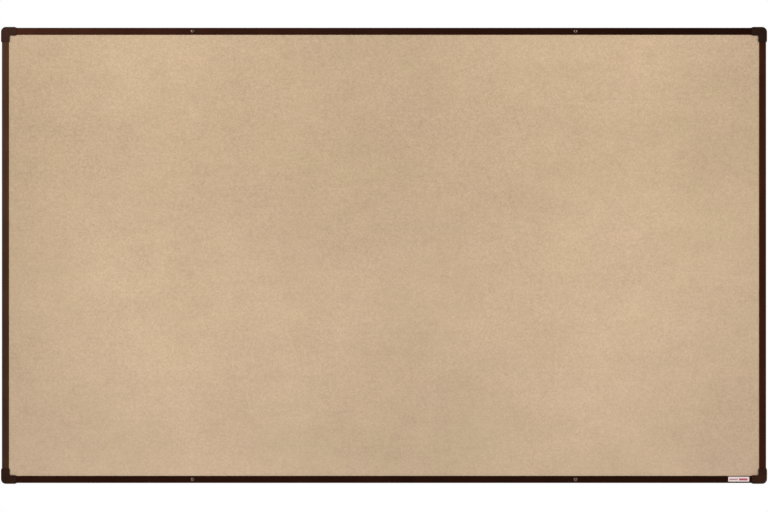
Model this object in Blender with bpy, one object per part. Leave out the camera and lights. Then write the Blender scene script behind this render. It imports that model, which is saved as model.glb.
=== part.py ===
"""Wall-hung cork bulletin board, 2000 x 1193 mm over its corner caps.

+X is to the right and +Z is up, as seen from the front. The front faces -Y, and y = 0 is the wall.
The origin is the board's centre on the wall plane. A depth is measured from the wall to the front,
and an inset from the outer edge of a rail towards the middle of the board.
"""

import math

import bmesh
import bpy

# Whole board, measured over the corner caps
BOARD_WIDTH = 2.000
BOARD_HEIGHT = 1.193

GAP = 0.0003  # between pieces that touch

# Rail extrusion: a closed box with a groove beside it for the panel
RAIL_FACE = 0.0185
RAIL_DEPTH = 0.020
RAIL_WALL = 0.0014
RAIL_BOX = 0.014
RAIL_EDGE_RADIUS = 0.003
RAIL_REAR_CHAMFER = 0.0004
RAIL_BEVEL_WIDTH = 0.0018  # the slope from the rail's face down to the cork
RAIL_BEVEL_DROP = 0.0013
RAIL_BEVEL_RADIUS = 0.0005
FRONT_LIP = 0.0017
REAR_LIP = 0.0016
REAR_LIP_DEPTH = 0.003  # the rear lip stands this far off the wall

# Panel, three bonded layers held in the groove
PANEL_BITE = 0.004
CORK_THICKNESS = 0.003
BACKING_THICKNESS = 0.0004

# Corner cap, a moulding pushed into both rails
CAP_PROUD = 0.0022  # outside the rails' outer edge
CAP_LAP = 0.0020  # over the cork, past the rails' inner edge
CAP_RISE = 0.0018  # in front of the rails' face
CAP_LEG = 0.040
CAP_CORNER_RADIUS = 0.013
CAP_EDGE_BEVEL = 0.0012
CAP_END_TAPER = 0.004  # the legs' sides slope in over this length at their ends
CAP_END_WALL = 0.0006  # what is left of the sides there
CAP_WALL = 0.0025
CAP_FRONT_WALL = 0.0025
RAIL_START = 0.0215  # from the cap's outer corner to the rails' square ends
PEG_REACH = 0.028
PEG_WEB = 0.0022
PEG_TIP_BEVEL = 0.0008
PEG_BOSS_RADIUS = 0.0035
PEG_BOSS_DEPTH = 0.0115

# Wall fixings, through the front and rear walls of the long rails
FIXING_SPACING = 1.000
FIXING_HOLE_RADIUS = 0.00275
REAR_FACE_SPAN = 0.800  # middle stretch of a long rail, clear of both fixings, with faces of its own
WALL_SCREW_RADIUS = 0.00225
WALL_SCREW_LENGTH = 0.040
WALL_SCREW_POINT = 0.005
WALL_SCREW_HEAD_RADIUS = 0.0042
WALL_SCREW_DOME = 0.0009
WALL_RECESS = (0.0046, 0.0010, 0.0020)  # across the cross, its slot width, its depth
WALL_SCREW_TURNS = (12, 52, 33, 71)  # how far round each cross came to rest, in degrees
WASHER_RADIUS = 0.0065
WASHER_HEIGHT = 0.0022
WASHER_SHOULDER_RADIUS = 0.0012

# Corner screws, countersunk from behind through a rail into a cap's peg
CORNER_SCREW_INSET = 0.007
CORNER_SCREW_STATION = 0.0355  # from the cap's outer corner
CORNER_SCREW_RADIUS = 0.00145
CORNER_SCREW_LENGTH = 0.0095
CORNER_SCREW_POINT = 0.0025
CORNER_SCREW_HEAD_RADIUS = 0.00255
CORNER_SCREW_SINK = 0.0002  # the head sits this far inside the rail's rear face
CORNER_RECESS = (0.0030, 0.0007, 0.0011)

# Blank label on the bottom rail
LABEL_LENGTH = 0.055
LABEL_HEIGHT = 0.0128
LABEL_THICKNESS = 0.0003
LABEL_CORNER_RADIUS = 0.001
LABEL_TO_CAP = 0.0065
LABEL_RISE = 0.0009  # of its middle above the rail's

# Steps along each arc, and round each turned piece
SMALL_EDGE_STEPS = 3
EDGE_STEPS = 6
CORNER_STEPS = 12
SCREW_STEPS = 24
SMALL_SCREW_STEPS = 16
SMOOTH_ANGLE = math.radians(35)

# A drill or a cutter starts this far outside what it cuts
OVERRUN = 0.001

# Sizes that follow from the ones above
FRAME_WIDTH = BOARD_WIDTH - 2 * CAP_PROUD
FRAME_HEIGHT = BOARD_HEIGHT - 2 * CAP_PROUD
GROOVE_FRONT = RAIL_DEPTH - FRONT_LIP
GROOVE_REAR = REAR_LIP_DEPTH + REAR_LIP
PANEL_INSET = RAIL_FACE - PANEL_BITE
CORK_FRONT = GROOVE_FRONT - GAP
CORK_REAR = CORK_FRONT - CORK_THICKNESS
BACKING_REAR = GROOVE_REAR + GAP
BACKING_FRONT = BACKING_REAR + BACKING_THICKNESS
CAP_FRONT = RAIL_DEPTH + CAP_RISE
WASHER_FRONT = RAIL_DEPTH + GAP + WASHER_HEIGHT
HEAD_GAP = GAP * math.sqrt(2)  # across a 45 degree countersink, measured along the radius
CORNERS = (
    ("top_right", 1, 1, 0),
    ("bottom_right", 1, -1, 90),
    ("bottom_left", -1, -1, 180),
    ("top_left", -1, 1, 270),
)  # name, side of the board in x and in z, and the quarter turn from the top right corner


def clear_scene():
    """Empty the scene, keeping the file open."""
    for ob in list(bpy.data.objects):
        bpy.data.objects.remove(ob)


def material(name, colour, roughness, metallic=0.0):
    """A Principled material with one colour and finish."""
    mat = bpy.data.materials.new(name)
    mat.use_nodes = True
    shader = mat.node_tree.nodes["Principled BSDF"]
    shader.inputs["Base Color"].default_value = (*colour, 1.0)
    shader.inputs["Roughness"].default_value = roughness
    shader.inputs["Metallic"].default_value = metallic
    mat.diffuse_color = (*colour, 1.0)
    return mat


def arc(centre, radius, start, end, steps):
    """Points on a round stretch of an outline, between two angles in degrees."""
    points = []
    for i in range(steps + 1):
        angle = math.radians(start + (end - start) * i / steps)
        points.append((centre[0] + radius * math.cos(angle), centre[1] + radius * math.sin(angle)))
    return points


def rectangle(low, high):
    """The outline of an upright rectangle."""
    return [low, (high[0], low[1]), high, (low[0], high[1])]


def finished(bm, name):
    """A mesh with outward faces, smooth but for its sharp edges."""
    bmesh.ops.remove_doubles(bm, verts=bm.verts, dist=1e-7)
    bmesh.ops.recalc_face_normals(bm, faces=bm.faces)
    mesh = bpy.data.meshes.new(name)
    bm.to_mesh(mesh)
    bm.free()
    mesh.shade_smooth()
    mesh.set_sharp_from_angle(angle=SMOOTH_ANGLE)
    return mesh


def place_loop(bm, loop, to_point):
    """Put an outline's points in space and join them in a ring of edges."""
    verts = [bm.verts.new(to_point(*point)) for point in loop]
    return verts, [bm.edges.new(pair) for pair in zip(verts, verts[1:] + verts[:1])]


def sweep_faces(bm, faces, sweep):
    """Draw flat faces out along a straight line, and return the faces at the far end."""
    region = bmesh.ops.extrude_face_region(bm, geom=faces)["geom"]
    bmesh.ops.translate(bm, verts=[g for g in region if isinstance(g, bmesh.types.BMVert)], vec=sweep)
    return [g for g in region if isinstance(g, bmesh.types.BMFace)]


def prism(name, outline, to_point, sweep, bevel=0.0, bevel_steps=SMALL_EDGE_STEPS):
    """A closed solid swept from one outline, its far end's edges rounded if a bevel is given."""
    bm = bmesh.new()
    verts, _ = place_loop(bm, outline, to_point)
    far_faces = sweep_faces(bm, [bm.faces.new(verts)], sweep)
    if bevel:
        bmesh.ops.recalc_face_normals(bm, faces=bm.faces)
        edges = list({edge for face in far_faces for edge in face.edges})
        bmesh.ops.bevel(bm, geom=edges, offset=bevel, segments=bevel_steps, profile=0.5, affect="EDGES")
    return finished(bm, name)


def turned(name, profile, steps):
    """A solid turned round the Y axis from (radius, depth) points, the first and last on the axis."""
    bm = bmesh.new()
    verts = [bm.verts.new((radius, -depth, 0.0)) for radius, depth in profile]
    edges = [bm.edges.new(pair) for pair in zip(verts, verts[1:])]
    bmesh.ops.spin(
        bm,
        geom=verts + edges,
        cent=(0, 0, 0),
        axis=(0, 1, 0),
        dvec=(0, 0, 0),
        angle=math.tau,
        steps=steps,
        use_merge=True,
    )
    return finished(bm, name)


def turned_ring(name, section, steps):
    """A ring turned round the Y axis from a closed (radius, depth) section."""
    return turned(name, section + section[:1], steps)


def repeated(mesh, places):
    """One mesh with a copy of another at each place."""
    bm = bmesh.new()
    for place in places:
        first = len(bm.verts)
        bm.from_mesh(mesh)
        bm.verts.ensure_lookup_table()
        bmesh.ops.translate(bm, verts=bm.verts[first:], vec=place)
    return finished(bm, mesh.name)


def combined(base, tool, operation):
    """The mesh left by one exact Boolean of two closed meshes."""
    host = bpy.data.objects.new("host", base)
    cutter = bpy.data.objects.new("cutter", tool)
    cutter.hide_render = True
    cutter.display_type = "WIRE"
    for ob in (host, cutter):
        bpy.context.scene.collection.objects.link(ob)
    boolean = host.modifiers.new("boolean", "BOOLEAN")
    boolean.operation = operation
    boolean.solver = "EXACT"
    boolean.object = cutter
    depsgraph = bpy.context.evaluated_depsgraph_get()
    result = bpy.data.meshes.new_from_object(host.evaluated_get(depsgraph))
    for ob in (host, cutter):
        bpy.data.objects.remove(ob)
    bm = bmesh.new()
    bm.from_mesh(result)
    return finished(bm, base.name)


def add_object(name, mesh, mat, parent, location=(0, 0, 0), turn=0):
    """A named piece, placed and turned round Y under its parent."""
    ob = bpy.data.objects.new(name, mesh)
    bpy.context.scene.collection.objects.link(ob)
    ob.parent = parent
    ob.location = location
    ob.rotation_euler = (0, math.radians(turn), 0)
    ob.data.materials.clear()
    ob.data.materials.append(mat)
    return ob


def add_empty(name, parent=None, location=(0, 0, 0), turn=0):
    """A reference point that pieces are placed from."""
    empty = bpy.data.objects.new(name, None)
    bpy.context.scene.collection.objects.link(empty)
    empty.parent = parent
    empty.location = location
    empty.rotation_euler = (0, math.radians(turn), 0)
    return empty


def rail_outline():
    """The rail's (inset, depth) section: the box, the groove's two lips and the rounded outer edge."""
    chamfer = RAIL_REAR_CHAMFER
    bevel_low = RAIL_DEPTH - RAIL_BEVEL_DROP
    bevel_start = RAIL_FACE - RAIL_BEVEL_WIDTH
    bevel_angle = math.degrees(math.atan2(RAIL_BEVEL_WIDTH, RAIL_BEVEL_DROP))
    crown = (bevel_start - RAIL_BEVEL_RADIUS, RAIL_DEPTH - RAIL_BEVEL_RADIUS)
    edge_centre = (RAIL_EDGE_RADIUS, RAIL_DEPTH - RAIL_EDGE_RADIUS)
    outline = [
        (chamfer, 0.0),
        (RAIL_BOX, 0.0),
        (RAIL_BOX, REAR_LIP_DEPTH),
        (RAIL_FACE, REAR_LIP_DEPTH),
        (RAIL_FACE, GROOVE_REAR),
        (RAIL_BOX, GROOVE_REAR),
        (RAIL_BOX, GROOVE_FRONT),
        (RAIL_FACE, GROOVE_FRONT),
        (RAIL_FACE, bevel_low),
    ]
    outline += arc(crown, RAIL_BEVEL_RADIUS, bevel_angle, 90, SMALL_EDGE_STEPS)
    outline += arc(edge_centre, RAIL_EDGE_RADIUS, 90, 180, EDGE_STEPS)
    outline.append((0.0, chamfer))
    return outline


def chamber_outline():
    """The hollow inside the rail's box."""
    radius = RAIL_EDGE_RADIUS - RAIL_WALL
    inner = RAIL_BOX - RAIL_WALL
    outline = [(RAIL_WALL, RAIL_WALL), (inner, RAIL_WALL), (inner, RAIL_DEPTH - RAIL_WALL)]
    corner = (RAIL_EDGE_RADIUS, RAIL_DEPTH - RAIL_EDGE_RADIUS)
    return outline + arc(corner, radius, 90, 180, EDGE_STEPS)


def rail_blank(name, stations):
    """A hollow rail along X without its holes: the outer edge is at z = 0, and insets run down -Z.

    It is drawn out from one station to the next, so a stretch between two of them has its own faces.
    """
    bm = bmesh.new()
    edges = []
    for loop in (rail_outline(), chamber_outline()):
        edges += place_loop(bm, loop, lambda inset, depth: (stations[0], -depth, -inset))[1]
    bmesh.ops.triangle_fill(bm, edges=edges, use_beauty=True)
    faces = sweep_faces(bm, list(bm.faces), (stations[1] - stations[0], 0, 0))
    for start, end in zip(stations[1:], stations[2:]):
        inner_faces = faces
        faces = sweep_faces(bm, inner_faces, (end - start, 0, 0))
        bmesh.ops.delete(bm, geom=[face for face in inner_faces if face.is_valid], context="FACES")
    return finished(bm, name)


def drill(radius, depth_from, depth_to, steps):
    """A straight drill along Y, between two depths."""
    return turned("drill", [(0, depth_from), (radius, depth_from), (radius, depth_to), (0, depth_to)], steps)


def countersink_drill():
    """The drill for a corner screw's hole: a 45 degree cone from behind, then the shank's clearance."""
    mouth = CORNER_SCREW_HEAD_RADIUS + CORNER_SCREW_SINK + HEAD_GAP
    shank = CORNER_SCREW_RADIUS + GAP
    profile = [
        (0, -OVERRUN),
        (mouth + OVERRUN, -OVERRUN),
        (shank, mouth - shank),
        (shank, RAIL_WALL + OVERRUN),
        (0, RAIL_WALL + OVERRUN),
    ]
    return turned("countersink", profile, SMALL_SCREW_STEPS)


def rail(name, length, fixings=()):
    """A finished rail, with countersunk corner holes, and through holes for any wall fixings."""
    end = length / 2
    corner_hole = end - (CORNER_SCREW_STATION - RAIL_START)
    middle = (-REAR_FACE_SPAN / 2, REAR_FACE_SPAN / 2) if fixings else ()
    mesh = rail_blank(name, (-end, *middle, end))
    corner_holes = [(x, 0, -CORNER_SCREW_INSET) for x in (-corner_hole, corner_hole)]
    mesh = combined(mesh, repeated(countersink_drill(), corner_holes), "DIFFERENCE")
    if fixings:
        through = drill(FIXING_HOLE_RADIUS, -OVERRUN, RAIL_DEPTH + OVERRUN, SCREW_STEPS)
        holes = [(x, 0, -RAIL_FACE / 2) for x in fixings]
        mesh = combined(mesh, repeated(through, holes), "DIFFERENCE")
    return mesh


def cap_shell():
    """The cap's outside, an angle with a rounded outer corner at the origin and legs along -X and -Z."""
    band = CAP_PROUD + RAIL_FACE + CAP_LAP
    taper_start = CAP_LEG - CAP_END_TAPER
    outer_end = CAP_PROUD - GAP - CAP_END_WALL
    inner_end = CAP_PROUD + RAIL_FACE + GAP + CAP_END_WALL
    corner = arc((-CAP_CORNER_RADIUS, -CAP_CORNER_RADIUS), CAP_CORNER_RADIUS, 0, 90, CORNER_STEPS)
    leg = [(-taper_start, 0), (-CAP_LEG, -outer_end), (-CAP_LEG, -inner_end), (-taper_start, -band)]
    outline = corner + leg + [(-band, -band)] + [(z, x) for x, z in reversed(leg)]
    return prism("corner_cap", outline, lambda x, z: (x, 0, z), (0, -CAP_FRONT, 0), CAP_EDGE_BEVEL)


def rail_clearance():
    """The space that a rail's end takes in the cap's leg, along -X from the rail's square end."""
    radius = RAIL_EDGE_RADIUS + GAP
    outer = -GAP
    inner = RAIL_FACE + GAP
    front = RAIL_DEPTH + GAP
    outline = [(outer, -OVERRUN), (inner, -OVERRUN), (inner, front)]
    outline += arc((outer + radius, front - radius), radius, 90, 180, EDGE_STEPS)
    start = GAP - RAIL_START
    reach = CAP_LEG + OVERRUN - RAIL_START
    return prism(
        "rail_clearance",
        outline,
        lambda inset, depth: (start, -depth, -CAP_PROUD - inset),
        (-reach, 0, 0),
    )


def box(name, low, high):
    """A rectangular block between two opposite corners."""
    outline = rectangle((low[0], low[2]), (high[0], high[2]))
    return prism(name, outline, lambda x, z: (x, low[1], z), (0, high[1] - low[1], 0))


def panel_clearance():
    """The space for the panel's corner, open to the rear."""
    edge = CAP_PROUD + PANEL_INSET - GAP
    far = CAP_LEG + OVERRUN
    front = GROOVE_FRONT
    return box("panel_clearance", (-far, -front, -far), (-edge, OVERRUN, -edge))


def cap_pocket():
    """The hollow in the cap's corner block, an angle open to the rear."""
    outer = CAP_WALL
    across = CAP_PROUD + PANEL_INSET - CAP_WALL
    along = RAIL_START - CAP_WALL
    radius = CAP_CORNER_RADIUS - CAP_WALL
    corner = arc((-CAP_CORNER_RADIUS, -CAP_CORNER_RADIUS), radius, 0, 90, CORNER_STEPS)
    outline = corner + [
        (-along, -outer),
        (-along, -across),
        (-across, -across),
        (-across, -along),
        (-outer, -along),
    ]
    depth = CAP_FRONT - CAP_FRONT_WALL
    return prism("cap_pocket", outline, lambda x, z: (x, OVERRUN, z), (0, -depth - OVERRUN, 0))


def cap_peg():
    """The peg for a rail's chamber, along -X: an I section with a boss round the corner screw."""
    low = RAIL_WALL + GAP
    high = RAIL_BOX - RAIL_WALL - GAP
    back = RAIL_WALL + GAP
    front = RAIL_DEPTH - RAIL_WALL - GAP
    front_radius = RAIL_EDGE_RADIUS - RAIL_WALL - GAP
    middle = (low + high) / 2
    half_web = PEG_WEB / 2
    outline = [
        (low, back),
        (high, back),
        (high, back + PEG_WEB),
        (middle + half_web, back + PEG_WEB),
        (middle + half_web, front - PEG_WEB),
        (high, front - PEG_WEB),
        (high, front),
        *arc((RAIL_EDGE_RADIUS, RAIL_DEPTH - RAIL_EDGE_RADIUS), front_radius, 90, 180, EDGE_STEPS),
        (low, front - PEG_WEB),
        (middle - half_web, front - PEG_WEB),
        (middle - half_web, back + PEG_WEB),
        (low, back + PEG_WEB),
    ]
    root = RAIL_START - CAP_WALL / 2
    reach = RAIL_START + PEG_REACH - root
    peg = prism(
        "cap_peg",
        outline,
        lambda inset, depth: (-root, -depth, -CAP_PROUD - inset),
        (-reach, 0, 0),
        PEG_TIP_BEVEL,
        1,
    )
    place = [(-CORNER_SCREW_STATION, 0, -CAP_PROUD - CORNER_SCREW_INSET)]
    boss = drill(PEG_BOSS_RADIUS, back + PEG_WEB / 2, PEG_BOSS_DEPTH, SMALL_SCREW_STEPS)
    peg = combined(peg, repeated(boss, place), "UNION")
    bore = drill(CORNER_SCREW_RADIUS + GAP, 0, CORNER_SCREW_LENGTH + 2 * GAP, SMALL_SCREW_STEPS)
    return combined(peg, repeated(bore, place), "DIFFERENCE")


def mirrored_pair(mesh, name):
    """A mesh along -X, and its mirror image across the cap's diagonal along -Z."""
    bm = bmesh.new()
    bm.from_mesh(mesh)
    twin = bmesh.ops.duplicate(bm, geom=list(bm.verts) + list(bm.edges) + list(bm.faces))["geom"]
    for vert in (g for g in twin if isinstance(g, bmesh.types.BMVert)):
        vert.co.x, vert.co.z = vert.co.z, vert.co.x
    return finished(bm, name)


def corner_cap():
    """The whole corner moulding, for the top right corner."""
    mesh = combined(cap_shell(), mirrored_pair(rail_clearance(), "rail_clearances"), "DIFFERENCE")
    mesh = combined(mesh, panel_clearance(), "DIFFERENCE")
    mesh = combined(mesh, cap_pocket(), "DIFFERENCE")
    return combined(mesh, mirrored_pair(cap_peg(), "cap_pegs"), "UNION")


def cross_cutter(recess, front, steps):
    """The driver's cross, cut into a head whose front is at the given depth.

    It is turned by half a facet, so that no corner of it lies on an edge between two facets.
    """
    across, slot, depth = recess
    turn = math.pi / steps
    arm = across / 2
    half = slot / 2
    outline = [
        (half, arm),
        (-half, arm),
        (-half, half),
        (-arm, half),
        (-arm, -half),
        (-half, -half),
        (-half, -arm),
        (half, -arm),
        (half, -half),
        (arm, -half),
        (arm, half),
        (half, half),
    ]
    turned_outline = [
        (x * math.cos(turn) - z * math.sin(turn), x * math.sin(turn) + z * math.cos(turn)) for x, z in outline
    ]
    return prism("cross", turned_outline, lambda x, z: (x, -front - OVERRUN, z), (0, depth + OVERRUN, 0))


def wall_screw():
    """A raised countersunk wood screw, its tip in the wall."""
    rim = WASHER_FRONT - GAP
    shank_start = rim - (WALL_SCREW_HEAD_RADIUS - WALL_SCREW_RADIUS)
    tip = rim - WALL_SCREW_LENGTH
    dome_radius = (WALL_SCREW_HEAD_RADIUS**2 + WALL_SCREW_DOME**2) / (2 * WALL_SCREW_DOME)
    dome_angle = math.degrees(math.asin(WALL_SCREW_HEAD_RADIUS / dome_radius))
    dome_centre = (0, rim + WALL_SCREW_DOME - dome_radius)
    profile = [(0, tip), (WALL_SCREW_RADIUS, tip + WALL_SCREW_POINT), (WALL_SCREW_RADIUS, shank_start)]
    profile += arc(dome_centre, dome_radius, 90 - dome_angle, 90, SMALL_EDGE_STEPS)
    mesh = turned("wall_screw", profile, SCREW_STEPS)
    return combined(mesh, cross_cutter(WALL_RECESS, rim + WALL_SCREW_DOME, SCREW_STEPS), "DIFFERENCE")


def cup_washer():
    """A finishing washer with a rolled shoulder and a 45 degree seat for the screw's head."""
    back = RAIL_DEPTH + GAP
    seat_mouth = WALL_SCREW_HEAD_RADIUS + HEAD_GAP + GAP
    seat_depth = WASHER_FRONT - (seat_mouth - FIXING_HOLE_RADIUS)
    shoulder_centre = (WASHER_RADIUS - WASHER_SHOULDER_RADIUS, WASHER_FRONT - WASHER_SHOULDER_RADIUS)
    section = [(FIXING_HOLE_RADIUS, back), (WASHER_RADIUS, back)]
    section += arc(shoulder_centre, WASHER_SHOULDER_RADIUS, 0, 90, EDGE_STEPS)
    section += [(seat_mouth, WASHER_FRONT), (FIXING_HOLE_RADIUS, seat_depth)]
    return turned_ring("cup_washer", section, SCREW_STEPS)


def corner_screw():
    """A small countersunk tapping screw, driven from behind."""
    head = CORNER_SCREW_SINK
    shank_start = head + CORNER_SCREW_HEAD_RADIUS - CORNER_SCREW_RADIUS
    tip = head + CORNER_SCREW_LENGTH
    profile = [
        (0, head),
        (CORNER_SCREW_HEAD_RADIUS, head),
        (CORNER_SCREW_RADIUS, shank_start),
        (CORNER_SCREW_RADIUS, tip - CORNER_SCREW_POINT),
        (0, tip),
    ]
    mesh = turned("corner_screw", profile, SMALL_SCREW_STEPS)
    cross = cross_cutter(CORNER_RECESS, -head, SMALL_SCREW_STEPS)
    for vert in cross.vertices:
        vert.co.y = -vert.co.y
    cross.flip_normals()
    return combined(mesh, cross, "DIFFERENCE")


def label_plate():
    """A blank adhesive label with rounded corners, centred on its own middle."""
    half_length = LABEL_LENGTH / 2 - LABEL_CORNER_RADIUS
    half_height = LABEL_HEIGHT / 2 - LABEL_CORNER_RADIUS
    outline = []
    for quarter, (side, rise) in enumerate(((1, 1), (-1, 1), (-1, -1), (1, -1))):
        centre = (side * half_length, rise * half_height)
        outline += arc(centre, LABEL_CORNER_RADIUS, quarter * 90, quarter * 90 + 90, SMALL_EDGE_STEPS)
    return prism("label_plate", outline, lambda x, z: (x, -RAIL_DEPTH - GAP, z), (0, -LABEL_THICKNESS, 0))


def panel_layer(name, rear, front):
    """One layer of the panel, between two depths."""
    half_width = FRAME_WIDTH / 2 - PANEL_INSET
    half_height = FRAME_HEIGHT / 2 - PANEL_INSET
    return box(name, (-half_width, -front, -half_height), (half_width, -rear, half_height))


def build_panel(board):
    """The cork, the soft core and the steel backing."""
    cork = material("cork", (0.58, 0.43, 0.28), 0.9)
    core = material("softboard", (0.36, 0.25, 0.15), 0.95)
    steel = material("galvanised_sheet", (0.62, 0.64, 0.65), 0.4, 1.0)
    add_object("cork_sheet", panel_layer("cork_sheet", CORK_REAR, CORK_FRONT), cork, board)
    core_mesh = panel_layer("core_board", BACKING_FRONT + GAP, CORK_REAR - GAP)
    add_object("core_board", core_mesh, core, board)
    backing_mesh = panel_layer("backing_sheet", BACKING_REAR, BACKING_FRONT)
    add_object("backing_sheet", backing_mesh, steel, board)


def build_rails(board):
    """Two long rails with the wall fixings, and two short rails."""
    brown = material("rail_brown", (0.045, 0.018, 0.010), 0.42, 0.0)
    fixings = (-FIXING_SPACING / 2, FIXING_SPACING / 2)
    long_rail = rail("long_rail", BOARD_WIDTH - 2 * RAIL_START, fixings)
    short_rail = rail("short_rail", BOARD_HEIGHT - 2 * RAIL_START)
    add_object("rail_top", long_rail, brown, board, (0, 0, FRAME_HEIGHT / 2), 0)
    add_object("rail_right", short_rail, brown, board, (FRAME_WIDTH / 2, 0, 0), 90)
    add_object("rail_bottom", long_rail, brown, board, (0, 0, -FRAME_HEIGHT / 2), 180)
    add_object("rail_left", short_rail, brown, board, (-FRAME_WIDTH / 2, 0, 0), 270)


def build_corners(board):
    """Four corner caps, each with the two screws that hold it to its rails."""
    plastic = material("cap_brown", (0.040, 0.018, 0.011), 0.5)
    zinc = material("zinc_plate", (0.66, 0.66, 0.64), 0.35, 1.0)
    cap = corner_cap()
    screw = corner_screw()
    inset = CAP_PROUD + CORNER_SCREW_INSET
    for name, side, rise, turn in CORNERS:
        place = (side * BOARD_WIDTH / 2, 0, rise * BOARD_HEIGHT / 2)
        corner = add_empty("corner_" + name, board, place, turn)
        add_object("corner_cap_" + name, cap, plastic, corner)
        along_x = (-CORNER_SCREW_STATION, 0, -inset)
        along_z = (-inset, 0, -CORNER_SCREW_STATION)
        level, upright = (along_x, along_z) if side == rise else (along_z, along_x)
        add_object("corner_screw_" + name + "_level", screw, zinc, corner, level)
        add_object("corner_screw_" + name + "_upright", screw, zinc, corner, upright)


def build_fixings(board):
    """The four screws that hold the board to a wall, each in its cup washer."""
    steel = material("screw_steel", (0.17, 0.115, 0.09), 0.3, 1.0)
    brown = material("washer_brown", (0.055, 0.026, 0.018), 0.45)
    screw = wall_screw()
    washer = cup_washer()
    for (name, side, rise, _), turn in zip(CORNERS, WALL_SCREW_TURNS):
        height = rise * (FRAME_HEIGHT / 2 - RAIL_FACE / 2)
        place = (side * FIXING_SPACING / 2, 0, height)
        add_object("wall_screw_" + name, screw, steel, board, place, turn)
        add_object("cup_washer_" + name, washer, brown, board, place)


def build_label(board):
    """The label, beside the bottom right cap."""
    white = material("label_white", (0.82, 0.80, 0.77), 0.5)
    x = BOARD_WIDTH / 2 - CAP_LEG - LABEL_TO_CAP - LABEL_LENGTH / 2
    z = RAIL_FACE / 2 - FRAME_HEIGHT / 2 + LABEL_RISE
    add_object("label_plate", label_plate(), white, board, (x, 0, z))


def main():
    clear_scene()
    board = add_empty("board")
    build_panel(board)
    build_rails(board)
    build_corners(board)
    build_fixings(board)
    build_label(board)


main()
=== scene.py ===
import math

import bmesh
import bpy
import numpy as np
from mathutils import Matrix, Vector, noise


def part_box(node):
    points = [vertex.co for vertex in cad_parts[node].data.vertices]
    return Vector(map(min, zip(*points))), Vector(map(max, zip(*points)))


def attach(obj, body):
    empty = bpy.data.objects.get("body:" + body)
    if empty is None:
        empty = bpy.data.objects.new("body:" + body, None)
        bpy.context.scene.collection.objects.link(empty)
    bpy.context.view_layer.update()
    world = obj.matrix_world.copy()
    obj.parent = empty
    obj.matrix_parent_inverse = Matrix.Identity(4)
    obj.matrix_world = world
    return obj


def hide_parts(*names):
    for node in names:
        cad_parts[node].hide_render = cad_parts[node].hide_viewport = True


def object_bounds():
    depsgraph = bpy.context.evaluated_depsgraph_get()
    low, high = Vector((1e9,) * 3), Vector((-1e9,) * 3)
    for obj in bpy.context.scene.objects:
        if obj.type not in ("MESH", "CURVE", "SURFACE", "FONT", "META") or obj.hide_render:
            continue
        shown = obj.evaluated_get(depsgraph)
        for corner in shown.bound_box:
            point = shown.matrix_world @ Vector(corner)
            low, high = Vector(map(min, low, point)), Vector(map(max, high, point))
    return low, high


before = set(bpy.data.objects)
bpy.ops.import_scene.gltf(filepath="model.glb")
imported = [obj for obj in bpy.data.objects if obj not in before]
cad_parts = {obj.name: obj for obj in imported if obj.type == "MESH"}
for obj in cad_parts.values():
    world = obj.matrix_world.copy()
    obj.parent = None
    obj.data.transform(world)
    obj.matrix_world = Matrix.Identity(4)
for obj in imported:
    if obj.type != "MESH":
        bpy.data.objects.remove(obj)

CAD_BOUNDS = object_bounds()
MM = 0.001
SMOOTH_ANGLE = math.radians(42)  # edges that turn further than this stay sharp

# The corners in the record's order: how far round the wall screw's cross came to rest, in degrees,
# and how pale the corner's cap is beside the others
CORNERS = {
    "top_right": (12, 0.58),
    "bottom_right": (52, 1.0),
    "bottom_left": (33, 0.72),
    "top_left": (71, 1.12),
}
CAP_BROWN = (0.0325, 0.0112, 0.0053)
WASHER_BROWN = (0.031, 0.0128, 0.0083)
BRONZED_STEEL = (0.17, 0.115, 0.09)
PALE_ZINC = (0.66, 0.66, 0.64)
# The axis each rail runs along, its brown, and how much painted shade deepens it from the middle to the
# right-hand end (painted light pales the left-hand end as much). The browns are lit and shaded copies of
# one brown: painted light makes the upright rails paler, painted shade makes the bottom rail darkest
RAILS = {
    "rail_top": (0, (0.0305, 0.0098, 0.0055), 0.42),
    "rail_right": (2, (0.0465, 0.0136, 0.0064), 0.0),
    "rail_bottom": (0, (0.0243, 0.0078, 0.0043), 0.07),
    "rail_left": (2, (0.0537, 0.0250, 0.0142), 0.0),
}


# ---------------------------------------------------------------- node helpers

def new_material(name, specular=0.5, **sockets):
    """A material, its node tree and its Principled shader, with plain values on its own sockets."""
    mat = bpy.data.materials.new(name)
    mat.use_nodes = True
    shader = mat.node_tree.nodes["Principled BSDF"]
    shader.inputs["Specular IOR Level"].default_value = specular
    for key, value in sockets.items():
        shader.inputs[key].default_value = value
    return mat, mat.node_tree, shader


def put(tree, kind, values=None, **settings):
    """Add a node: settings go on the node, values on its inputs, and an output among them is linked."""
    made = tree.nodes.new("ShaderNode" + kind)
    for key, value in settings.items():
        setattr(made, key, value)
    for key, value in (values or {}).items():
        if isinstance(value, bpy.types.NodeSocket):
            tree.links.new(value, made.inputs[key])
        else:
            made.inputs[key].default_value = value
    return made


def place(tree, scale=(1, 1, 1), offset=(0, 0, 0)):
    """Object coordinates in metres, scaled and moved."""
    coords = put(tree, "TexCoord").outputs["Object"]
    return put(tree, "Mapping", {"Vector": coords, "Location": offset, "Scale": scale}).outputs[0]


def noisy(tree, vector, scale, detail=2.0, roughness=0.5):
    """The value of a noise texture, about 0.5 on average."""
    values = {"Vector": vector, "Scale": scale, "Detail": detail, "Roughness": roughness}
    return put(tree, "TexNoise", values).outputs[0]


def warped(tree, vector, scale, reach):
    """A vector pushed about by up to half of reach, in metres."""
    push = put(tree, "TexNoise", {"Vector": vector, "Scale": scale, "Detail": 1.0}).outputs["Color"]
    moved = {0: push, 1: (reach,) * 3, 2: vector}
    return put(tree, "VectorMath", moved, operation="MULTIPLY_ADD").outputs[0]


def cells(tree, vector, scale):
    """Voronoi cells: a random tone for each, and the distance from its middle."""
    made = put(tree, "TexVoronoi", {"Vector": vector, "Scale": scale})
    return put(tree, "SeparateColor", {0: made.outputs["Color"]}).outputs[0], made.outputs["Distance"]


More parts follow.
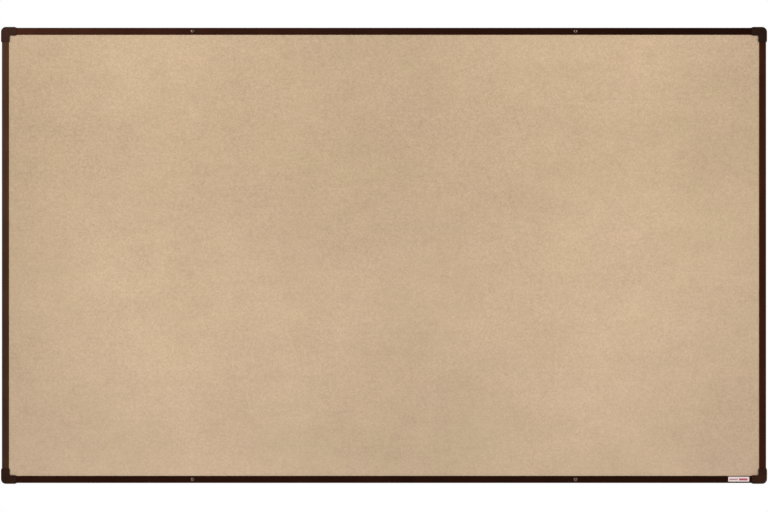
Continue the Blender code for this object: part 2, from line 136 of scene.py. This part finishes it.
def ranged(tree, value, low, high, to_low=0.0, to_high=1.0):
    """A value moved from one range into another, and held inside it."""
    values = {"Value": value, "From Min": low, "From Max": high, "To Min": to_low, "To Max": to_high}
    return put(tree, "MapRange", values).outputs[0]


def calc(tree, operation, a, b=0.0):
    """One step of arithmetic."""
    return put(tree, "Math", {0: a, 1: b}, operation=operation).outputs[0]


def near(tree, value, middle, reach):
    """One where a value is within reach of the middle, and zero elsewhere."""
    return put(tree, "Math", {0: value, 1: middle, 2: reach}, operation="COMPARE").outputs[0]


def summed(tree, *parts):
    """A weighted sum of patterns."""
    total = 0.0
    for value, weight in parts:
        total = put(tree, "Math", {0: value, 1: weight, 2: total}, operation="MULTIPLY_ADD").outputs[0]
    return total


def banded(tree, value, middle, period, between, within):
    """A factor that swings between one value within a row of soft bands and another between them."""
    phase = calc(tree, "MULTIPLY", calc(tree, "SUBTRACT", value, middle), 2 * math.pi / period)
    return ranged(tree, calc(tree, "COSINE", phase), -1.0, 1.0, between, within)


def rgb(*values):
    """A colour with full alpha."""
    return (*values, 1.0)


def shade(colour, factor):
    """A paler or darker shade of a colour."""
    return rgb(*(factor * c for c in colour))


def mixed(tree, factor, a, b):
    """Two colours mixed."""
    return put(tree, "Mix", {0: factor, 6: a, 7: b}, data_type="RGBA").outputs[2]


def brightened(tree, colour, factor):
    """A colour made brighter or darker by a factor."""
    grey = put(tree, "CombineColor", {0: factor, 1: factor, 2: factor}).outputs[0]
    values = {0: 1.0, 6: colour, 7: grey}
    return put(tree, "Mix", values, data_type="RGBA", blend_type="MULTIPLY").outputs[2]


def raised(tree, height, distance, strength=1.0, under=None):
    """A surface normal raised by a height pattern, a real distance in metres."""
    values = {"Height": height, "Distance": distance, "Strength": strength}
    if under is not None:
        values["Normal"] = under
    return put(tree, "Bump", values).outputs[0]


def wire(tree, shader, colour, roughness, normal):
    """Join the three patterns every finish has to the shader."""
    tree.links.new(colour, shader.inputs["Base Color"])
    tree.links.new(roughness, shader.inputs["Roughness"])
    tree.links.new(normal, shader.inputs["Normal"])


# ---------------------------------------------------------------- finishes

def cork_finish():
    """Fine pale cork: pressed granules of 1 to 4 mm, sparse dark bark specks and soft blotches."""
    dark, light = rgb(0.495, 0.349, 0.221), rgb(0.661, 0.485, 0.317)
    bark, pink, yellow = rgb(0.30, 0.19, 0.10), rgb(0.66, 0.44, 0.34), rgb(0.55, 0.46, 0.24)
    foot, foot_bottom, foot_top = rgb(0.58, 0.43, 0.34), -0.6, 0.25
    granules, crumbs, clump_scale, speck_scale = 290.0, 720.0, 75.0, 420.0  # to the metre
    grain_height = 0.12 * MM
    mat, tree, shader = new_material("cork", specular=0.25)
    at = place(tree)
    bent = warped(tree, at, 260.0, 3 * MM)
    coarse, from_middle = cells(tree, bent, granules)
    fine, _ = cells(tree, bent, crumbs)
    clumps = noisy(tree, at, clump_scale, 2.0, 0.6)
    tone = summed(tree, (coarse, 0.34), (fine, 0.36), (clumps, 0.30))
    colour = mixed(tree, ranged(tree, tone, 0.2, 0.8), dark, light)
    specks = ranged(tree, noisy(tree, at, speck_scale, 1.0, 0.4), 0.70, 0.78, 0.0, 0.55)
    colour = mixed(tree, specks, colour, bark)
    # Blotches of every size, a little pinker or yellower
    for blotch, offset, most in ((pink, (3.1, 0, 1.7), 0.17), (yellow, (7.3, 0, 4.2), 0.26)):
        blotches = noisy(tree, place(tree, offset=offset), 3.0, 5.0, 0.85)
        colour = mixed(tree, ranged(tree, blotches, 0.38, 0.72, 0.0, most), colour, blotch)
    # Lighter and darker patches, and the faint level run of the sanding belt
    patches = noisy(tree, place(tree, scale=(0.8, 1, 1.2)), 2.0, 5.0, 0.85)
    patches = ranged(tree, patches, 0.3, 0.7, 0.92, 1.08)
    streaks = noisy(tree, place(tree, scale=(1.5, 1, 60)), 3.0, 3.0, 0.6)
    streaks = ranged(tree, streaks, 0.3, 0.7, 0.985, 1.015)
    # Painted light: two paler bands down the sheet and one across it; a pinker foot; and painted shade
    # that darkens both ends
    across, _, up = put(tree, "SeparateXYZ", {0: at}).outputs
    colour = mixed(tree, ranged(tree, up, foot_bottom, foot_top, 0.22, 0.0), colour, foot)
    painted_light_bands_down = banded(tree, across, 0.0, 1.22, 1.039, 0.961)
    painted_light_band_across = banded(tree, up, -0.13, 0.8, 0.98, 1.02)
    ends = ranged(tree, calc(tree, "ABSOLUTE", across), 0.72, 1.0, 1.0, 0.925)
    # The painted light of the bands and the painted shade of the ends go on here with the real patches and
    # sanding streaks
    for factor in (patches, streaks, painted_light_bands_down, painted_light_band_across, ends):
        colour = brightened(tree, colour, factor)
    grains = summed(tree, (ranged(tree, from_middle, 0.0, 0.7, 1.0, 0.0), 1.0), (fine, 0.5))
    rough = ranged(tree, fine, 0.0, 1.0, 0.82, 0.96)
    wire(tree, shader, colour, rough, raised(tree, grains, grain_height, 0.6))
    return mat


def rail_finish(rail, axis, brown, painted_light_fall):
    """Brown satin anodised aluminium, with fine drawing lines along the extrusion, and painted light that
    pales one end and painted shade that darkens the other.
    """
    mat, tree, shader = new_material(rail + "_brown", specular=0.1, Metallic=0.6)
    shader.inputs["Specular Tint"].default_value = rgb(0.5, 0.28, 0.2)
    stretch = [900.0] * 3  # lines to the metre across the rail
    stretch[axis] = 4.0
    lines = noisy(tree, place(tree, scale=stretch), 1.0, 3.0, 0.6)
    clouds = noisy(tree, place(tree), 14.0, 4.0, 0.6)
    colour = mixed(tree, ranged(tree, clouds, 0.3, 0.7), shade(brown, 0.87), shade(brown, 1.15))
    colour = mixed(tree, ranged(tree, lines, 0.45, 0.75, 0.0, 0.25), colour, shade(brown, 2.1))
    # Painted light and shade: paler towards the left-hand end, darker towards the right-hand end
    across = put(tree, "SeparateXYZ", {0: place(tree)}).outputs[0]
    painted_light_gradient = ranged(tree, across, -0.85, 0.85, 1 + painted_light_fall, 1 - painted_light_fall)
    colour = brightened(tree, colour, painted_light_gradient)
    rough = ranged(tree, lines, 0.3, 0.7, 0.37, 0.45)
    rough = calc(tree, "ADD", rough, ranged(tree, clouds, 0.3, 0.7, -0.03, 0.03))
    drawn = raised(tree, lines, 0.02 * MM, 0.5)
    etch = noisy(tree, place(tree), 2600.0)
    wire(tree, shader, colour, rough, raised(tree, etch, 0.01 * MM, 0.4, drawn))
    return mat


def moulded_finish(name, brown, roughness, grain_height):
    """Moulded plastic with the fine spark-eroded grain of its mould and faint flow marks."""
    mat, tree, shader = new_material(name, specular=0.08)
    pits = noisy(tree, place(tree), 1900.0, 3.0, 0.6)
    flow = noisy(tree, place(tree), 60.0, 3.0, 0.5)
    colour = mixed(tree, ranged(tree, flow, 0.3, 0.7), shade(brown, 0.86), shade(brown, 1.14))
    rough = ranged(tree, pits, 0.3, 0.7, roughness - 0.06, roughness + 0.06)
    wire(tree, shader, colour, rough, raised(tree, pits, grain_height, 0.5))
    return mat


def turned_metal_finish(name, tint, roughness):
    """Plated steel with fine turning and handling marks."""
    mat, tree, shader = new_material(name, Metallic=1.0)
    marks = noisy(tree, place(tree), 2400.0, 3.0, 0.7)
    clouds = noisy(tree, place(tree), 500.0)
    colour = mixed(tree, ranged(tree, clouds, 0.3, 0.7), rgb(*tint), shade(tint, 0.8))
    rough = ranged(tree, marks, 0.3, 0.7, roughness - 0.07, roughness + 0.1)
    wire(tree, shader, colour, rough, raised(tree, marks, 0.01 * MM, 0.5))
    return mat


def galvanised_finish():
    """Galvanised sheet: spangles about 9 mm across, each with its own feathered grain, over finer ones."""
    mat, tree, shader = new_material("galvanised_sheet", Metallic=0.9)
    at = place(tree)
    bent = warped(tree, at, 70.0, 7 * MM)
    spangle, _ = cells(tree, bent, 105.0)
    small, _ = cells(tree, bent, 420.0)
    # Each spangle's feathers run their own way
    turn = calc(tree, "MULTIPLY", spangle, 2 * math.pi)
    turned = put(tree, "VectorRotate", {"Vector": at, "Angle": turn, "Axis": (0, 1, 0)}).outputs[0]
    lean = put(tree, "Mapping", {"Vector": turned, "Scale": (1, 1, 9)}).outputs[0]
    feathers = noisy(tree, lean, 170.0, 3.0, 0.6)
    tone = summed(tree, (spangle, 0.45), (small, 0.20), (feathers, 0.35))
    clouds = noisy(tree, at, 4.0, 4.0, 0.6)
    colour = mixed(tree, ranged(tree, tone, 0.25, 0.75), rgb(0.50, 0.515, 0.52), rgb(0.62, 0.635, 0.645))
    colour = mixed(tree, ranged(tree, clouds, 0.35, 0.65, 0.0, 0.2), colour, rgb(0.45, 0.46, 0.46))
    wave = raised(tree, noisy(tree, at, 6.0, 1.0, 0.4), 1.5 * MM, 0.25)
    rough = ranged(tree, tone, 0.25, 0.75, 0.36, 0.5)
    wire(tree, shader, colour, rough, raised(tree, tone, 0.02 * MM, 0.3, wave))
    return mat


def softboard_finish():
    """Pressed fibre board, seen only at its cut edges."""
    mat, tree, shader = new_material("softboard")
    fibre = noisy(tree, place(tree, scale=(1, 4, 1)), 700.0, 4.0, 0.7)
    colour = mixed(tree, ranged(tree, fibre, 0.3, 0.7), rgb(0.24, 0.16, 0.09), rgb(0.42, 0.31, 0.20))
    rough = ranged(tree, fibre, 0.3, 0.7, 0.88, 0.98)
    wire(tree, shader, colour, rough, raised(tree, fibre, 0.3 * MM, 0.7))
    return mat


def label_finish():
    """Pinkish white label film with two plain printed bars, side by side, and no lettering."""
    mat, tree, shader = new_material("label_white")
    low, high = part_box("label_plate")
    middle = (low + high) / 2
    mottle = noisy(tree, place(tree), 300.0, 3.0, 0.5)
    colour = mixed(tree, ranged(tree, mottle, 0.3, 0.7), rgb(0.75, 0.60, 0.59), rgb(0.81, 0.67, 0.66))
    along, _, up = put(tree, "SeparateXYZ", {0: place(tree, offset=-middle)}).outputs
    bar_half_length, bars_level = 11 * MM, -0.6 * MM
    # Each bar's middle, half its height and its ink
    for centre, half_height, ink in (
        (-13 * MM, 1.2 * MM, (0.30, 0.12, 0.13)),
        (12 * MM, 2.5 * MM, (0.42, 0.06, 0.09)),
    ):
        beside = near(tree, along, centre, bar_half_length)
        level = near(tree, up, bars_level, half_height)
        colour = mixed(tree, calc(tree, "MULTIPLY", beside, level), colour, rgb(*ink))
    rough = ranged(tree, mottle, 0.3, 0.7, 0.34, 0.46)
    wire(tree, shader, colour, rough, raised(tree, mottle, 0.02 * MM, 0.4))
    return mat


# ---------------------------------------------------------------- pieces

def dress(obj, mat):
    """Give a piece one material."""
    obj.data.materials.clear()
    obj.data.materials.append(mat)


def add_piece(bm, name, node, mat):
    """Finish a mesh as the piece that stands for a CAD node, smooth across its small turns only."""
    bmesh.ops.recalc_face_normals(bm, faces=bm.faces)
    mesh = bpy.data.meshes.new(name)
    bm.to_mesh(mesh)
    bm.free()
    mesh.shade_smooth()
    mesh.set_sharp_from_angle(angle=SMOOTH_ANGLE)
    obj = bpy.data.objects.new(name, mesh)
    bpy.context.scene.collection.objects.link(obj)
    dress(obj, mat)
    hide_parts(node)
    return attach(obj, "root")


def even_normals(obj):
    """Keep large faces flat and let the rounded edges between them carry the turn."""
    bpy.context.view_layer.objects.active = obj
    modifier = obj.modifiers.new("even", "WEIGHTED_NORMAL")
    modifier.keep_sharp = True
    modifier.weight = 100
    bpy.ops.object.modifier_apply(modifier=modifier.name)


def softened(node, mat):
    """The CAD node's own shape, with its rounded edges shaded as curves."""
    bm = bmesh.new()
    bm.from_mesh(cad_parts[node].data)
    bmesh.ops.remove_doubles(bm, verts=bm.verts, dist=0.001 * MM)
    bmesh.ops.dissolve_limit(bm, angle_limit=math.radians(0.3), verts=bm.verts, edges=bm.edges)
    even_normals(add_piece(bm, node + "_smooth", node, mat))


def ring(bm, centre, y, radius, count):
    """A circle of vertices that faces along Y; its radius is a number or a function of the angle."""
    made = []
    for i in range(count):
        angle = 2 * math.pi * i / count
        reach = radius(angle) if callable(radius) else radius
        point = (centre.x + reach * math.cos(angle), y, centre.z + reach * math.sin(angle))
        made.append(bm.verts.new(point))
    return made


def skin(bm, rings):
    """Join each ring to the next one, and close both ends."""
    for a, b in zip(rings, rings[1:]):
        for i in range(len(a)):
            j = (i + 1) % len(a)
            bm.faces.new((a[i], a[j], b[j], b[i]))
    bm.faces.new(rings[0])
    bm.faces.new(rings[-1])


def cork_piece(mat):
    """The cork sheet: a finely divided front that is a little uneven, as sanded cork is."""
    low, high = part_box("cork_sheet")
    cell, unevenness, front_room = 6 * MM, 0.05 * MM, 0.1 * MM
    swells, ripples = 28, 90  # to the metre
    columns = round((high.x - low.x) / cell)
    rows = round((high.z - low.z) / cell)
    bm = bmesh.new()
    front = []
    for z in np.linspace(low.z, high.z, rows + 1):
        row = []
        for x in np.linspace(low.x, high.x, columns + 1):
            swell = noise.noise(Vector((x, 0, z)) * swells)
            ripple = noise.noise(Vector((x, 5, z)) * ripples)
            row.append(bm.verts.new((x, low.y + front_room - unevenness * (swell + ripple), z)))
        front.append(row)
    for lower, upper in zip(front, front[1:]):
        for i in range(columns):
            bm.faces.new((lower[i], lower[i + 1], upper[i + 1], upper[i]))
    right, left = [row[-1] for row in front[1:]], [row[0] for row in front[-2:0:-1]]
    rim = front[0] + right + front[-1][-2::-1] + left
    back = [bm.verts.new((v.co.x, high.y, v.co.z)) for v in rim]
    for i, vert in enumerate(rim):
        j = (i + 1) % len(rim)
        bm.faces.new((vert, rim[j], back[j], back[i]))
    bm.faces.new(back)
    add_piece(bm, "cork_surface", "cork_sheet", mat)


def cross_cutter(centre, front, turn):
    """The driver's cross as a tapered plug, to be cut out of a screw's head."""
    # Each end's depth behind the head's front, the length of an arm there and half its width
    mouth = (-0.5 * MM, 2.45 * MM, 0.54 * MM)
    floor = (2.0 * MM, 1.2 * MM, 0.36 * MM)
    bm = bmesh.new()
    loops = []
    for depth, arm, half in (mouth, floor):
        y = front + depth
        quarter = [(arm, -half), (arm, half), (half, half)]
        loop = []
        for step in range(4):
            angle = math.radians(90 * step - turn)
            for x, z in quarter:
                across = x * math.cos(angle) - z * math.sin(angle)
                up = x * math.sin(angle) + z * math.cos(angle)
                loop.append(bm.verts.new((centre.x + across, y, centre.z + up)))
        loops.append(loop)
    skin(bm, loops)
    bmesh.ops.recalc_face_normals(bm, faces=bm.faces)
    mesh = bpy.data.meshes.new("cross")
    bm.to_mesh(mesh)
    bm.free()
    cutter = bpy.data.objects.new("cross", mesh)
    bpy.context.scene.collection.objects.link(cutter)
    return cutter


def wall_screw(corner, turn, mat):
    """A wood screw with a raised countersunk cross head and a rolled thread down to its point."""
    node = "wall_screw_" + corner
    low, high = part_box(node)
    centre = (low + high) / 2
    head_radius, shank_radius, root_radius, crest_radius = 4.2 * MM, 1.95 * MM, 1.55 * MM, 2.2 * MM
    dome, rim_edge, plain_shank, run_in, point = 0.9 * MM, 0.25 * MM, 9 * MM, 0.5 * MM, 7 * MM
    pitch, crest_half_width, slices_per_turn = 2.0 * MM, 0.28, 8  # the half width is a share of the pitch
    tip_radius, end_radius, steps = 0.05 * MM, 0.06 * MM, 32
    apex = low.y - 0.05 * MM
    rim = apex + dome
    ball = (head_radius**2 + dome**2) / (2 * dome)
    bm = bmesh.new()
    rings = []
    for share in (0.12, 0.35, 0.6, 0.82, 0.94, 1.0):
        radius = head_radius * share
        y = apex + ball - math.sqrt(ball**2 - radius**2)
        rings.append(ring(bm, centre, y, radius, steps))
    neck = rim + head_radius - shank_radius
    rings.append(ring(bm, centre, rim + rim_edge, head_radius, steps))
    rings.append(ring(bm, centre, neck + rim_edge, shank_radius, steps))
    thread_start = neck + plain_shank
    rings.append(ring(bm, centre, thread_start - run_in, shank_radius, steps))
    slices = round((high.y - thread_start) / (pitch / slices_per_turn))
    for s in range(slices):
        y = thread_start + (high.y - thread_start) * s / slices
        narrow = min(1.0, (high.y - y) / point) ** 0.8
        grown = min(1.0, (y - thread_start) / pitch)

        def thread(angle, y=y, narrow=narrow, grown=grown):
            phase = (y / pitch + angle / (2 * math.pi)) % 1.0
            crest = max(0.0, 1 - abs(phase - 0.5) / crest_half_width)
            return narrow * (root_radius + (crest_radius - root_radius) * crest * grown) + tip_radius

        rings.append(ring(bm, centre, y, thread, steps))
    rings.append(ring(bm, centre, high.y, end_radius, steps))
    skin(bm, rings)
    screw = add_piece(bm, node + "_threaded", node, mat)
    cutter = cross_cutter(centre, apex, turn)
    bpy.context.view_layer.objects.active = screw
    cut = screw.modifiers.new("cross", "BOOLEAN")
    cut.object = cutter
    cut.solver = "EXACT"
    bpy.ops.object.modifier_apply(modifier=cut.name)
    bpy.data.objects.remove(cutter)
    dress(screw, mat)
    screw.data.set_sharp_from_angle(angle=SMOOTH_ANGLE)


def label_piece(mat):
    """A thin label with rounded corners and a softened front edge."""
    node = "label_plate"
    low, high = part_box(node)
    corner, corner_steps = 1.6 * MM, 6
    # From the back to the front: the depth behind the label's front, and how far in its outline is there
    section = ((high.y - low.y, 0.0), (0.1 * MM, 0.0), (0.03 * MM, 0.04 * MM), (0.0, 0.12 * MM))
    bm = bmesh.new()
    loops = []
    for depth, inset in section:
        y = low.y + depth
        loop = []
        for side, rise, start in ((1, 1, 0), (-1, 1, 90), (-1, -1, 180), (1, -1, 270)):
            x = (high.x if side > 0 else low.x) - side * corner
            z = (high.z if rise > 0 else low.z) - rise * corner
            reach = corner - inset
            for step in range(corner_steps + 1):
                angle = math.radians(start + 90 * step / corner_steps)
                loop.append(bm.verts.new((x + reach * math.cos(angle), y, z + reach * math.sin(angle))))
        loops.append(loop)
    skin(bm, loops)
    add_piece(bm, "label_film", node, mat)


# ---------------------------------------------------------------- studio

def studio_floor():
    """A pale round floor, well below the hung board, that fades out before its edge."""
    radius, level, fade_start, fade_end = 6.0, -1.5, 2.0, 5.8
    bpy.ops.mesh.primitive_circle_add(vertices=96, radius=radius, fill_type="NGON", location=(0, 0, level))
    floor = bpy.context.object
    floor.name = "studio_floor"
    mat, tree, shader = new_material("studio_floor", Roughness=0.8)
    shader.inputs["Base Color"].default_value = rgb(0.84, 0.84, 0.83)
    shader.inputs["Emission Color"].default_value = rgb(1.0, 1.0, 1.0)
    shader.inputs["Emission Strength"].default_value = 0.22
    away = put(tree, "VectorMath", {0: place(tree)}, operation="LENGTH").outputs["Value"]
    reach = {"Value": away, "From Min": fade_start, "From Max": fade_end}
    fade = put(tree, "MapRange", reach, interpolation_type="SMOOTHSTEP")
    clear = put(tree, "BsdfTransparent").outputs[0]
    mix = put(tree, "MixShader", {0: fade.outputs[0], 1: shader.outputs[0], 2: clear}).outputs[0]
    tree.links.new(mix, tree.nodes["Material Output"].inputs["Surface"])
    dress(floor, mat)


def soft_box(name, stand, target, size, power):
    """A square soft box aimed at a point."""
    data = bpy.data.lights.new(name, "AREA")
    data.size = size
    data.energy = power
    light = bpy.data.objects.new(name, data)
    bpy.context.scene.collection.objects.link(light)
    light.location = stand
    light.rotation_euler = (Vector(target) - Vector(stand)).to_track_quat("-Z", "Y").to_euler()


def lighting():
    """Soft boxes round the board, in surroundings that look white and light it dimly."""
    soft_box("key_left", (-2.7, -3.6, 1.5), (-0.2, 0, 0.1), 2.8, 116)
    soft_box("key_right", (3.4, -3.0, 1.2), (0.2, 0, 0.1), 2.8, 98)
    soft_box("overhead", (0, 0.8, 4.0), (0, 0, 0), 2.5, 22)
    soft_box("rear_left", (-3.0, 3.6, 1.4), (0, 0, 0), 2.2, 75)
    soft_box("rear_right", (3.0, 3.6, 1.4), (0, 0, 0), 2.2, 60)
    world = bpy.data.worlds.new("studio")
    bpy.context.scene.world = world
    world.use_nodes = True
    tree = world.node_tree
    seen = tree.nodes["Background"]
    seen.inputs["Color"].default_value = rgb(1, 1, 1)
    lit = put(tree, "Background", {"Color": rgb(1, 1, 1), "Strength": 0.18}).outputs[0]
    is_seen = put(tree, "LightPath").outputs["Is Camera Ray"]
    mix = put(tree, "MixShader", {0: is_seen, 1: lit, 2: seen.outputs[0]}).outputs[0]
    tree.links.new(mix, tree.nodes["World Output"].inputs["Surface"])
    bpy.context.scene.view_settings.view_transform = "Standard"


def camera():
    """Straight in front of the board, from far enough back that its sides don't show."""
    data = bpy.data.cameras.new("camera")
    data.lens = 200
    data.sensor_width = 36
    data.clip_start = 0.1
    data.clip_end = 200
    seen_width, eye_level = 2.0045, -1.6 * MM
    distance = seen_width * data.lens / data.sensor_width
    cam = bpy.data.objects.new("camera", data)
    bpy.context.scene.collection.objects.link(cam)
    cam.location = (0, CAD_BOUNDS[0].y - distance, eye_level)
    cam.rotation_euler = (math.pi / 2, 0, 0)
    bpy.context.scene.camera = cam


# ---------------------------------------------------------------- the scene

cork_piece(cork_finish())
for rail, (axis, brown, painted_light_fall) in RAILS.items():
    softened(rail, rail_finish(rail, axis, brown, painted_light_fall))
washer_plastic = moulded_finish("washer_brown", WASHER_BROWN, 0.28, 0.01 * MM)
bronzed_steel = turned_metal_finish("screw_steel", BRONZED_STEEL, 0.3)
pale_zinc = turned_metal_finish("zinc_plate", PALE_ZINC, 0.34)
for corner, (turn, paleness) in CORNERS.items():
    brown = [paleness * c for c in CAP_BROWN]
    cap_plastic = moulded_finish("cap_brown_" + corner, brown, 0.42, 0.04 * MM)
    softened("corner_cap_" + corner, cap_plastic)
    softened("cup_washer_" + corner, washer_plastic)
    wall_screw(corner, turn, bronzed_steel)
    for run in ("level", "upright"):
        softened("corner_screw_" + corner + "_" + run, pale_zinc)
label_piece(label_finish())
dress(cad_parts["core_board"], softboard_finish())
dress(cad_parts["backing_sheet"], galvanised_finish())
studio_floor()
lighting()
camera()
